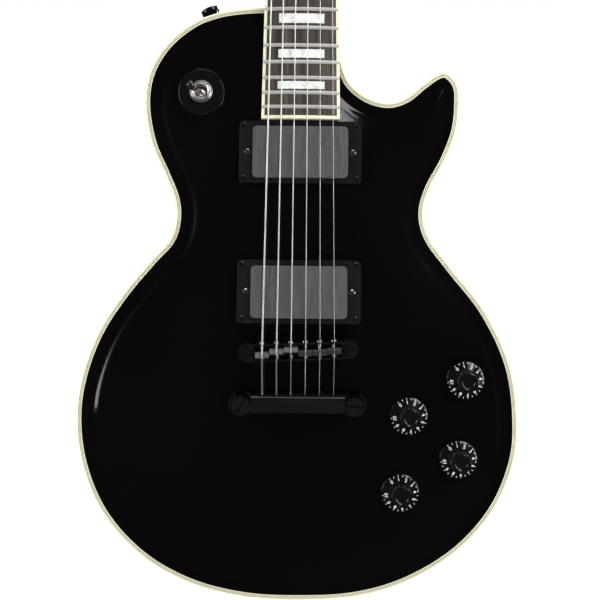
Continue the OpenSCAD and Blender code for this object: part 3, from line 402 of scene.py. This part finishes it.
def lofted(rings):
    """Points and faces of a solid through rings, closed by a fan at each end."""
    n = len(rings[0])
    points = [tuple(p) for r in rings for p in r]
    faces = rings_faces(len(rings), n)
    base = len(points)
    points += [tuple(np.mean(np.array(rings[0]), 0)), tuple(np.mean(np.array(rings[-1]), 0))]
    last = (len(rings) - 1) * n
    faces += [(base, (k + 1) % n, k) for k in range(n)]
    faces += [(base + 1, last + k, last + (k + 1) % n) for k in range(n)]
    return points, faces


def level(line, z):
    return [(p[0], p[1], z) for p in line]


def prism(line, z0, z1):
    n = len(line)
    points = level(line, z0) + level(line, z1)
    return points, rings_faces(2, n) + [tuple(range(n))[::-1], tuple(range(n, 2 * n))]


def disc_line(x, y, r, sides=48):
    return [(x + r * cos(2 * pi * k / sides), y + r * sin(2 * pi * k / sides))
            for k in range(sides)]


def lathe(profile, sides=96, square=lambda r, z, k: (r, z)):
    """Points and faces of a turned shape; profile runs from axis to axis or as a loop."""
    points, faces, rows = [], [], []
    for r, z in profile:
        if r < 1e-6:
            rows.append([len(points)])
            points.append((0, 0, z))
        else:
            rows.append(list(range(len(points), len(points) + sides)))
            for k in range(sides):
                rr, zz = square(r, z, k)
                a = 2 * pi * k / sides
                points.append((rr * cos(a), rr * sin(a), zz))
    pairs = list(zip(rows, rows[1:]))
    if len(rows[0]) > 1 and len(rows[-1]) > 1:
        pairs.append((rows[-1], rows[0]))
    for a, b in pairs:
        for k in range(sides):
            j = (k + 1) % sides
            f = [a[k % len(a)], a[j % len(a)], b[j % len(b)], b[k % len(b)]]
            f = [v for i, v in enumerate(f) if v not in f[:i]]
            if len(f) > 2:
                faces.append(tuple(f))
    return points, faces


def solved_mesh(o):
    """The object's mesh with its modifiers, or its outline, turned into faces."""
    solved = o.evaluated_get(bpy.context.evaluated_depsgraph_get())
    return bpy.data.meshes.new_from_object(solved)


def cut(o, shapes):
    """Takes closed shapes out of a piece, one after another."""
    for points, faces in shapes:
        tool = piece("cutter", points, faces, LACQUER, None)
        mod = o.modifiers.new("cut", "BOOLEAN")
        mod.operation, mod.solver, mod.object = "DIFFERENCE", "EXACT", tool
        bpy.context.view_layer.update()
        done = solved_mesh(o)
        o.modifiers.clear()
        old = o.data
        o.data = done
        bpy.data.meshes.remove(old)
        bpy.data.objects.remove(tool)
    soften(o, 30)


# ---- body ----
KNOBS = {"knob_neck_volume": (81.5, 141.5), "knob_neck_tone": (75.8, 85.2),
         "knob_bridge_volume": (122.9, 168.2), "knob_bridge_tone": (118.3, 110)}
SWITCH = (-73.5, 378.3)
PICKUPS = (334.0, 232.2)
CAVITY_MID = np.array((100.0, 125.0))
POCKET_HALF = (41, 21.2)              # pickup pocket in the top
POT_HOLE, SWITCH_HOLE = 4.9, 6.4
POST_SPACING, POST_HOLE_Y, POST_HOLE = 81.5, 150.4, 5.97
COVER_SEAT = 2.4                      # depth of the recesses for the rear covers
CAP_FLOOR, STRIP_FLOOR = 48.5, 48.6   # cap and binding meet just below the face
BACK_STRIP = 6.0                      # height of the rear binding
EDGE_ROUND = 0.9


def grown_cover(d):
    m = [np.array(p) + (np.array(p) - CAVITY_MID) * d / np.linalg.norm(np.array(p) - CAVITY_MID)
         for p in COVER_MARKS]
    return closed_curve(m, 8)


def carved_normals(o):
    """Shades the carved face with the carve's own slope."""
    mesh = o.data
    step = 0.25
    p = np.array([(v.co.x / MM, v.co.z / MM - TAIL_RISE) for v in mesh.vertices])
    height = lambda dx, dy: carved_z(p + np.array((dx, dy)))
    slope_x = (height(step, 0) - height(-step, 0)) / (2 * step)
    slope_y = (height(0, step) - height(0, -step)) / (2 * step)
    loops = [None] * len(mesh.loops)
    for f in mesh.polygons:
        carved = f.normal.y < -0.6 and f.center.y < (RIM_MID - RIM_THICK) * MM
        for k in f.loop_indices:
            v = mesh.loops[k].vertex_index
            n = Vector((-slope_x[v], -1, -slope_y[v])) if carved else Vector(f.normal)
            loops[k] = n.normalized()
    mesh.normals_split_custom_set(loops)


def body_cap():
    band = with_end(inset(BAND))
    foot = with_end(inset(PLY))
    shares = np.concatenate([1 - 0.30 * np.linspace(0, 1, 30) ** 1.3, np.linspace(0.68, 0.03, 16)])
    rings = [level(HEART + (foot - HEART) * 0.02, SEAM_Z), level(foot, SEAM_Z),
             level(foot, CAP_FLOOR), level(band, CAP_FLOOR)]
    for t in shares:
        p = HEART + (band - HEART) * t
        z = carved_z(p) if t < 1 else np.full(len(p), RIM_THICK)
        rings.append([(a[0], a[1], b) for a, b in zip(p, z)])
    points, faces = lofted(rings)
    points[-1] = (HEART[0], HEART[1], TOP_Z)
    o = piece("body_top_carved", points, faces, LACQUER, None)
    w, h = POCKET_HALF
    shapes = [prism([(-w, y - h), (w, y - h), (w, y + h), (-w, y + h)], 30, 80)
              for y in PICKUPS]
    shapes += [prism(disc_line(*p, POT_HOLE), 36, 70) for p in KNOBS.values()]
    shapes += [prism(disc_line(*SWITCH, SWITCH_HOLE), 36, 70)]
    shapes += [prism(disc_line(s * POST_SPACING / 2, POST_HOLE_Y, POST_HOLE), 36, 70)
               for s in (-1, 1)]
    cut(o, shapes)
    carved_normals(o)
    finish_piece(o, "guitar", ["body_top"])


def body_wood():
    foot, edge = with_end(inset(PLY)), with_end(rim)
    points, faces = lofted([level(foot, 0.0), level(foot, BACK_STRIP), level(edge, BACK_STRIP),
                            level(edge, 24.0), level(edge, SEAM_Z)])
    o = piece("body_back_shell", points, faces, LACQUER, None)
    shapes = [prism(closed_curve(COVER_MARKS, 8), -5, 60), prism(disc_line(*SWITCH, 19), -5, 60),
              prism(grown_cover(7.3), -5, COVER_SEAT),
              prism(disc_line(*SWITCH, 25.3, 96), -5, COVER_SEAT)]
    cut(o, shapes)
    finish_piece(o, "guitar", ["body_back"])


def swept_band(name, line, out, profile, mats, picks, replaces):
    """A strip with a closed profile of (distance in, height), run along an open outline."""
    n = len(profile)
    points = [(p[0] - q[0] * d, p[1] - q[1] * d, z) for p, q in zip(line, out) for d, z in profile]
    faces = rings_faces(len(line), n)
    marks = [picks[k] for _ in range(len(line) - 1) for k in range(n)]
    last = (len(line) - 1) * n
    faces += [tuple(range(n)), tuple(range(last, last + n))[::-1]]
    marks += [0, 0]
    return piece(name, points, faces, mats, "guitar", replaces, marks, smooth=40)


def rounded(corner, r, steps=5):
    """Quarter round from the side wall up to the face, at distance 0 and height corner."""
    return [(r - r * cos(pi / 2 * k / steps), corner - r + r * sin(pi / 2 * k / steps))
            for k in range(steps + 1)]


def bindings():
    # Seen from the edge inwards: cream, then black and cream by turns
    lines = [PLY, 1.95, 2.35, 2.7, 3.1, 3.45, BAND]
    profile = [(0.0, SEAM_Z)] + rounded(RIM_THICK, EDGE_ROUND)
    profile += [(d, RIM_THICK) for d in lines]
    profile += [(BAND, STRIP_FLOOR), (PLY, STRIP_FLOOR), (PLY, SEAM_Z)]
    starts = len(profile) - len(lines) - 3
    picks = [0] * len(profile)
    for k in (0, 2, 4):
        picks[starts + k] = 1
    swept_band("binding_front_plies", rim, rim_out, profile, [CREAM, BLACK_LINE], picks,
               ["binding_front"])
    back = [(0.0, BACK_STRIP)] + [(d, RIM_THICK - z) for d, z in rounded(RIM_THICK, EDGE_ROUND)]
    back += [(PLY, 0.0), (PLY, BACK_STRIP)]
    swept_band("binding_back_strip", rim, rim_out, back, [CREAM], [0] * len(back),
               ["binding_back"])


# ---- neck ----
def half_width(u):
    return (57.5 + (43 - 57.5) * u / BOARD_LEN) / 2


def clamp01(v):
    return max(0.0, min(1.0, v))


def shaft_depth(u):
    return (20 + 2 * (1 - u / BOARD_LEN) + 28 * clamp01(1 - (u - 78) / 46) ** 2
            + 4 * sin(pi * clamp01((u - 425) / 50)) ** 2)


def neck_shaft():
    us = list(np.linspace(78, 150, 37)) + list(np.linspace(156, 420, 34)) + list(
        np.linspace(423, HEAD_START, 22))
    rings = []
    for u in us:
        w, depth = half_width(min(u, BOARD_LEN)), shaft_depth(u)
        square = 1.5 - 0.38 * clamp01((u - 108) / 34)
        ring = []
        for k in range(41):
            a = pi * k / 40
            ring.append(from_neck((w * np.sign(cos(a)) * abs(cos(a)) ** (1 / square), u,
                                   -depth * max(sin(a), 0) ** (1 / square))))
        rings.append(ring)
    points, faces = lofted(rings)
    piece("neck_shaft", points, faces, LACQUER, "guitar", ["neck"])
    half = open_curve(HEAD_MARKS, 8)
    line = np.vstack([half, half[-2::-1] * (-1, 1)])
    out = normals(line)
    rings = []
    for d, z in [(2.0, -15.5)] + [(1.6 * (1 - sin(t)), -15.5 + 1.6 * (1 - cos(t)))
                                  for t in np.linspace(0.15, pi / 2, 6)] + [(0, -1.5)]:
        rings.append([from_head((p[0] - q[0] * d, max(p[1] - q[1] * d, 0), z))
                      for p, q in zip(line, out)])
    points, faces = lofted(rings)
    piece("headstock_block", points, faces, LACQUER, "guitar")


# ---- strings ----
GAUGES = (1.32, 1.07, 0.81, 0.6, 0.45, 0.36)
STEPS = (-0.5, -0.3, -0.1, 0.1, 0.3, 0.5)
BREAK_Y = (184.4, 187.2, 188.7, 189.6, 190.2, 191.4)
NUT_LIFT, LAST_FRET_LIFT = 7.1, 8.3
TAIL_SPREAD, NUT_SPREAD = 51.5, 35.5  # outer string to outer string
BOARD_RADIUS = 305
ANCHOR_YZ = (158.7, 70.6)             # where the strings leave the tailpiece
POST_RADIUS, COILS, COIL_PITCH = 3, 2.5, 1.04
SLOPE = (LAST_FRET_LIFT - NUT_LIFT) / (SCALE * (1 - 2 ** (-22 / 12)))
POSTS = [(-22, 50), (-23, 90), (-23, 130), (23, 130), (23, 90), (22, 50)]


def string_x(i, u):
    return (TAIL_SPREAD + (NUT_SPREAD - TAIL_SPREAD) * (u - SADDLE_LINE) / SCALE) * STEPS[i]


def string_w(i, u):
    return NUT_LIFT + (BOARD_LEN - u) * SLOPE - string_x(i, u) ** 2 / 2 / BOARD_RADIUS


def string_path(i):
    u = (BREAK_Y[i] - BOARD_Y) / cos(NECK_TILT)
    anchor = (TAIL_SPREAD * STEPS[i], *ANCHOR_YZ)
    line = [(anchor[0], anchor[1] - 6, anchor[2]), anchor,
            from_neck((string_x(i, u), u, string_w(i, u))),
            from_neck((string_x(i, BOARD_LEN), BOARD_LEN, string_w(i, BOARD_LEN))),
            from_neck((string_x(i, HEAD_START), HEAD_START, string_w(i, BOARD_LEN) - 0.5))]
    g, side = GAUGES[i], 1 if i < 3 else -1
    r = POST_RADIUS + 0.08 + g / 2
    for k in range(int(COILS * 24) + 1):
        t = k * 15
        line.append(from_head((POSTS[i][0] + side * r * cos(radians(t)),
                               POSTS[i][1] + r * sin(radians(t)),
                               4.4 + g * (COILS + 0.6 - t / 360 * COIL_PITCH))))
    return line


def tube(line, radius, pitch, sides):
    """A wire along a line; with a pitch, its surface ripples like a winding's turns."""
    line = [Vector(p) for p in line]
    places = []
    for a, b in zip(line, line[1:]):
        n = max(1, int((b - a).length / (pitch / 4))) if pitch else 1
        places += [a.lerp(b, k / n) for k in range(n)]
    places.append(line[-1])
    rings = []
    for k, p in enumerate(places):
        d = (places[min(k + 1, len(places) - 1)] - places[max(k - 1, 0)]).normalized()
        side = Vector((1, 0, 0)) if abs(d.z) > 0.9 else Vector((0, 0, 1))
        a = side.cross(d).normalized()
        b = d.cross(a)
        r = radius * (1, 0.94, 0.88, 0.94)[k % 4] if pitch else radius
        rings.append([p + a * r * cos(2 * pi * s / sides) + b * r * sin(2 * pi * s / sides)
                      for s in range(sides)])
    return lofted(rings)


def strings():
    for i in range(6):
        wound = i < 3
        points, faces = tube(string_path(i), GAUGES[i] / 2, 1.1 if wound else 0, 10)
        kind = "wound" if wound else "plain"
        piece(f"string_{6 - i}_{kind}", points, faces, STRING_WOUND if wound else STRING_PLAIN,
              "guitar", [f"strings_{kind}"], smooth=60)


# ---- knobs ----
def high_side(p, r):
    p = np.array(p)
    toward = (HEART - p) / np.linalg.norm(HEART - p)
    return float(carved_z(p + toward * r)[0])


KNOB_R, KNOB_H = 13.9, 14.0
GAP_HEADING = 158.0      # where the ring of numbers is left open
DIAL_SWEEP = 300.0
SKIRT_FALL = 0.449       # drop of the knob's skirt per unit of radius


def cone(r):
    """Height of the skirt's upper face at a radius."""
    return 4.3 - (r - 8.6) * SKIRT_FALL


def digits(text, size):
    """Outline mesh of a generic number, centred on the origin."""
    curve = bpy.data.curves.new("digits", "FONT")
    curve.body = text
    curve.size = size
    curve.align_x = curve.align_y = "CENTER"
    curve.extrude = 0.03
    curve.offset = 0.03
    o = bpy.data.objects.new("digits", curve)
    scene.collection.objects.link(o)
    bpy.context.view_layer.update()
    mesh = solved_mesh(o)
    points = [tuple(v.co) for v in mesh.vertices]
    faces = [tuple(p.vertices) for p in mesh.polygons]
    bpy.data.objects.remove(o)
    bpy.data.curves.remove(curve)
    bpy.data.meshes.remove(mesh)
    return points, faces


def knob(name, spot):
    base = high_side(spot, KNOB_R) + 0.4
    crown = [(0, KNOB_H - 1.5), (2.6, KNOB_H - 1.35), (3.8, KNOB_H - 1.0), (4.6, KNOB_H - 0.25),
             (5.1, KNOB_H), (6.3, KNOB_H), (6.8, KNOB_H - 0.25), (7.05, KNOB_H - 0.8)]
    flank = [(7.15, 11.5), (7.3, 9), (7.55, 6.4), (7.8, 5.2), (8.2, 4.5)]
    skirt = [(8.6, cone(8.6)), (10.2, cone(10.2)), (12.0, cone(12.0)), (13.5, cone(13.5)),
             (13.85, 1.8), (13.9, 1.4), (13.9, 0.4), (13.6, 0.1), (12.9, 0.05), (12.3, 0.9),
             (10, 1.9), (0, 1.9)]

    def fluted(r, z, k):
        return (r - 0.14 * (k % 4 == 0), z) if 4.4 < z < 13 and r > 7.1 else (r, z)

    points, faces = lathe(crown + flank + skirt, 192, fluted)
    place = lambda p: row((spot[0] + p[0], spot[1] + p[1], base + p[2]))
    piece(name + "_cap", points, faces, KNOB_BLACK, name, [name],
          smooth=25, place=place)
    ink_points, ink_faces = [], []

    def stamp(points, faces, heading, radius, turn=0.0):
        """Lays a flat figure on the skirt at a heading, leaning with its cone."""
        first = len(ink_points)
        m = (Matrix.Rotation(radians(heading), 4, "Z")
             @ Matrix.Translation((radius, 0, cone(radius) + 0.04))
             @ Matrix.Rotation(atan(SKIRT_FALL), 4, "Y") @ Matrix.Rotation(radians(turn), 4, "Z"))
        ink_points.extend(tuple(m @ Vector(p)) for p in points)
        ink_faces.extend(tuple(v + first for v in f) for f in faces)

    bar = prism([(-0.62, -0.16), (0.62, -0.16), (0.62, 0.16), (-0.62, 0.16)], -0.03, 0.03)
    for k in range(11):
        heading = GAP_HEADING - (360 - DIAL_SWEEP) / 2 - DIAL_SWEEP * k / 10
        stamp(*digits(str(k), 3.7), heading, 10.4, -90)
        stamp(*bar, heading, 12.85)
        if k < 10:
            stamp(*bar, heading - DIAL_SWEEP / 20, 12.6)
    piece(name + "_numbers", ink_points, ink_faces, WHITE_INK, name,
          smooth=30, place=place)


# ---- switch ----
SWITCH_Z = float(carved_z(SWITCH)[0])
PIVOT_Z = -2.6
LEVER_LEAN = radians(15)


def at_switch(p):
    return row((SWITCH[0] + p[0],
                SWITCH[1] + p[1] * cos(NECK_TILT) + p[2] * sin(NECK_TILT),
                SWITCH_Z - p[1] * sin(NECK_TILT) + p[2] * cos(NECK_TILT)))


def at_lever(p):
    t = LEVER_LEAN
    return at_switch((p[0] * cos(t) - p[2] * sin(t), p[1],
                      PIVOT_Z + p[0] * sin(t) + p[2] * cos(t)))


def switch():
    disc = [(6.0, 0.22), (17.2, 0.22), (17.5, 0.5), (17.5, 1.0), (17.2, 1.3), (16.7, 1.35),
            (16.55, 1.28), (16.4, 1.35), (6.0, 1.35)]
    points, faces = lathe(disc, 128)
    piece("switch_washer_disc", points, faces, KNOB_BLACK, "guitar",
          ["switch_washer"], smooth=25, place=at_switch)
    nut = [(5.95, 1.4), (8.2, 1.4), (8.5, 1.6), (8.5, 2.3), (8.2, 2.6), (7.6, 2.65),
           (7.45, 2.9), (7.4, 3.6), (7.1, 3.95), (6.6, 4.05), (6.3, 3.95), (6.05, 3.7),
           (5.9, 3.9), (5.5, 4.05), (5.15, 3.9), (5.0, 3.5), (5.0, 2.0), (5.95, 1.9)]

    def knurled(r, z, k):
        return (r - 0.22 * (k % 3 == 0), z) if r > 8.3 else (r, z)

    points, faces = lathe(nut, 144, knurled)
    piece("switch_nut", points, faces, NICKEL, "guitar", smooth=25, place=at_switch)
    ball = [(0, -13)] + [(1.6, -13), (1.6, -3.4)]
    ball += [(3.7 * sin(t), -3.7 * cos(t)) for t in np.linspace(asin(1.62 / 3.7), pi - 0.45, 14)]
    ball += [(1.6, 3.6), (1.6, 12.0), (0, 12.0)]
    points, faces = lathe(ball, 48)
    piece("lever_shaft", points, faces, NICKEL, "switch_lever", ["switch_lever"],
          smooth=40, place=at_lever)
    tip = [(0, 12.0), (2.0, 12.0), (2.3, 12.3), (2.55, 15), (2.85, 18), (3.05, 20.5)]
    tip += [(3.1 * cos(t), 21 + 3.1 * sin(t)) for t in np.linspace(0, pi / 2, 10)[:-1]]
    tip += [(0, 24.1)]
    points, faces = lathe(tip, 48)
    piece("lever_tip", points, faces, BLACK_PLASTIC, "switch_lever",
          smooth=40, place=at_lever)


# ---- carried-over nodes ----
CARRIED = {
    ROSEWOOD: ["fingerboard"], PEARL: ["position_markers"], BONE: ["nut"], SATIN:
    ["pickup_neck", "pickup_bridge"], CREAM: ["headstock_binding", "fingerboard_binding"],
    LACQUER: ["headstock_veneer"], FRET_WIRE: ["frets"], STEEL_ROD: ["truss_rod"],
    BLACK_PLASTIC: ["truss_rod_cover", "pickup_rings", "rear_covers"],
    BLACK_METAL: ["tuner_housings", "bridge_body", "posts_and_bushings", "thumbwheel_bass",
                  "thumbwheel_treble", "tailpiece", "tailpiece_studs", "strap_buttons",
                  "small_screws"] + [f"tuner_{p}_{i}" for p in ("post", "key")
                                     for i in range(1, 7)],
    SADDLE_METAL: [f"saddle_{i}" for i in range(1, 7)],
    SCREW_STEEL: ["saddle_screws", "pickup_screws"],
    NICKEL: ["output_jack", "switch_body", "potentiometers"],
    BATTERY_CASE: ["battery"], WIRE_JACKET: ["wiring"],
}
EDGES = {"tailpiece": 0.5, "bridge_body": 0.35, "pickup_rings": 0.5, "pickup_neck": 0.6,
         "pickup_bridge": 0.6, "tuner_housings": 0.4, "nut": 0.3, "truss_rod_cover": 0.4,
         "rear_covers": 0.3, "thumbwheel_bass": 0.25, "thumbwheel_treble": 0.25,
         "tailpiece_studs": 0.35}


def carry_over():
    for m, names in CARRIED.items():
        for n in names:
            o = nodes[n]
            o.data.materials.clear()
            o.data.materials.append(m)
            if n in EDGES:
                b = o.modifiers.new("edge", "BEVEL")
                b.width, b.segments = EDGES[n] * MM, 2
                b.limit_method, b.angle_limit = "ANGLE", radians(50)
                b.harden_normals = True


# ---- light, floor and camera ----
FLOOR_RADIUS, FLOOR_SIDES, FLOOR_GAP = 9, 64, 0.0002   # metres


def area(name, place, aim, size, power, colour=(1, 1, 1)):
    light = bpy.data.lights.new(name, "AREA")
    light.shape = "RECTANGLE"
    light.size, light.size_y = size
    light.energy, light.color = power, colour
    o = bpy.data.objects.new(name, light)
    o.location = place
    o.rotation_euler = (Vector(aim) - Vector(place)).to_track_quat("-Z", "Y").to_euler()
    scene.collection.objects.link(o)


def studio():
    world = bpy.data.worlds.new("studio")
    world.use_nodes = True
    tree = world.node_tree
    back = tree.nodes["Background"]
    rays = tree.nodes.new("ShaderNodeLightPath")
    strength = tree.nodes.new("ShaderNodeMapRange")
    strength.inputs["To Min"].default_value = 0.05
    strength.inputs["To Max"].default_value = 1.0
    tree.links.new(rays.outputs["Is Camera Ray"], strength.inputs["Value"])
    tree.links.new(strength.outputs["Result"], back.inputs["Strength"])
    back.inputs["Color"].default_value = (1, 1, 1, 1)
    scene.world = world
    area("key", (1.3, -1.3, 1.7), (0, 0, 0.35), (0.9, 0.9), 41)
    area("left", (-1.5, -0.7, 0.6), (0, 0, 0.3), (0.3, 1.4), 20)
    area("right", (1.5, -0.5, 0.4), (0, 0, 0.3), (0.3, 1.4), 17)
    area("top", (0, -0.3, 2.2), (0, 0, 0.4), (1.4, 0.8), 22)
    area("rear", (0.6, 1.8, 1.3), (0, 0, 0.4), (1.2, 1.2), 30)
    mesh = bpy.data.meshes.new("floor")
    ring = [(*p, cad_low.z - FLOOR_GAP) for p in disc_line(0, 0, FLOOR_RADIUS, FLOOR_SIDES)]
    mesh.from_pydata(ring, [], [tuple(range(FLOOR_SIDES))])
    m, tree, shader = node_material("pale_floor")
    speckle = noise(tree, coords(tree), 20)
    tree.links.new(ramp(tree, speckle, [(0.3, (0.90, 0.90, 0.90)), (0.7, (0.92, 0.92, 0.92))]),
                   shader.inputs["Base Color"])
    shader.inputs["Roughness"].default_value = 0.8
    shader.inputs["Emission Color"].default_value = (1, 1, 1, 1)
    shader.inputs["Emission Strength"].default_value = 1.1
    mesh.materials.append(m)
    floor = bpy.data.objects.new("floor", mesh)
    floor.visible_glossy = False
    scene.collection.objects.link(floor)


CAMERA_GAP = 0.54          # camera to the plane of the rim
CAMERA_X, CAMERA_Z = -0.0007, 0.2655
CAMERA_ROLL = radians(-0.6)
SENSOR_WIDTH = 36
PIXELS_PER_MM = 1.335      # on the plane of the rim, in a 600-pixel frame
FRAME_PIXELS = 600


def camera():
    data = bpy.data.cameras.new("photo_view")
    data.sensor_width = SENSOR_WIDTH
    data.lens = PIXELS_PER_MM / MM * CAMERA_GAP / FRAME_PIXELS * data.sensor_width
    data.shift_x, data.shift_y = 0.003, -0.063
    o = bpy.data.objects.new("photo_view", data)
    scene.collection.objects.link(o)
    o.location = (CAMERA_X, -RIM_MID * MM - CAMERA_GAP, CAMERA_Z)
    o.rotation_euler = (radians(90), CAMERA_ROLL, 0)
    scene.camera = o
    scene.view_settings.view_transform = "Standard"


camera()
studio()
carry_over()
body_cap()
body_wood()
bindings()
neck_shaft()
strings()
for knob_name, knob_spot in KNOBS.items():
    knob(knob_name, knob_spot)
switch()
